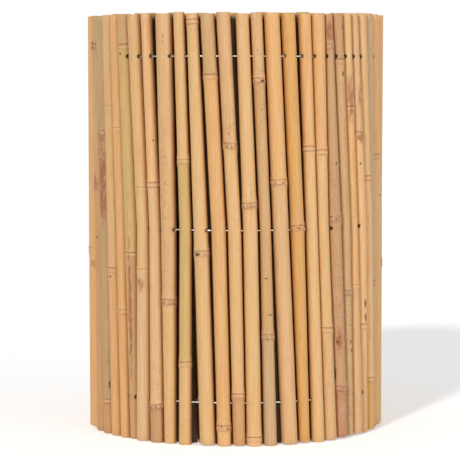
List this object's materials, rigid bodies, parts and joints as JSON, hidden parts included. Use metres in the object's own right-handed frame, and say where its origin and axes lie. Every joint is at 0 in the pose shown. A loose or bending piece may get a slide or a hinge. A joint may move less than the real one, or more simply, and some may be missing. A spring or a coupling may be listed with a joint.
{
  "type": "rolled bamboo screen",
  "caption": "Screen of whole bamboo canes threaded side by side on three wires, rolled up into an upright drum with an open core.",
  "frame": {"origin": "middle of the roll's footprint, on the ground", "axes": "+Z along the canes towards the top of the roll, -Y towards the front of the roll"},
  "size_m": [0.3613, 0.3685, 0.501],
  "materials": {
    "cane": "satin",
    "wire": "satin"
  },
  "bodies": {
    "root": {"free_end_canes": "cane", "front_cane_01": "cane", "front_cane_02": "cane", "front_cane_03": "cane", "front_cane_04": "cane", "front_cane_05": "cane", "front_cane_06": "cane", "front_cane_07": "cane", "front_cane_08": "cane", "front_cane_09": "cane", "front_cane_10": "cane", "front_cane_11": "cane", "front_cane_12": "cane", "front_cane_13": "cane", "front_cane_14": "cane", "front_cane_15": "cane", "front_cane_16": "cane", "front_cane_17": "cane", "front_cane_18": "cane", "front_cane_19": "cane", "front_cane_20": "cane", "front_cane_21": "cane", "front_cane_22": "cane", "front_cane_23": "cane", "front_cane_24": "cane", "front_cane_25": "cane", "rear_cane_01": "cane", "rear_cane_02": "cane", "rear_cane_03": "cane", "rear_cane_04": "cane", "rear_cane_05": "cane", "rear_cane_06": "cane", "rear_cane_07": "cane", "rear_cane_08": "cane", "rear_cane_09": "cane", "rear_cane_10": "cane", "rear_cane_11": "cane", "rear_cane_12": "cane", "rear_cane_13": "cane", "rear_cane_14": "cane", "rear_cane_15": "cane", "rear_cane_16": "cane", "rear_cane_17": "cane", "rear_cane_18": "cane", "rear_cane_19": "cane", "rear_cane_20": "cane", "rear_cane_21": "cane", "rear_cane_22": "cane", "rear_cane_23": "cane", "rear_cane_24": "cane", "rear_cane_25": "cane", "rear_cane_26": "cane", "rear_cane_27": "cane", "turn_2_canes": "cane", "turn_3_canes": "cane", "turn_4_canes": "cane", "turn_5_canes": "cane", "wire_low": "wire", "wire_middle": "wire", "wire_top": "wire"}
  },
  "joints": []
}
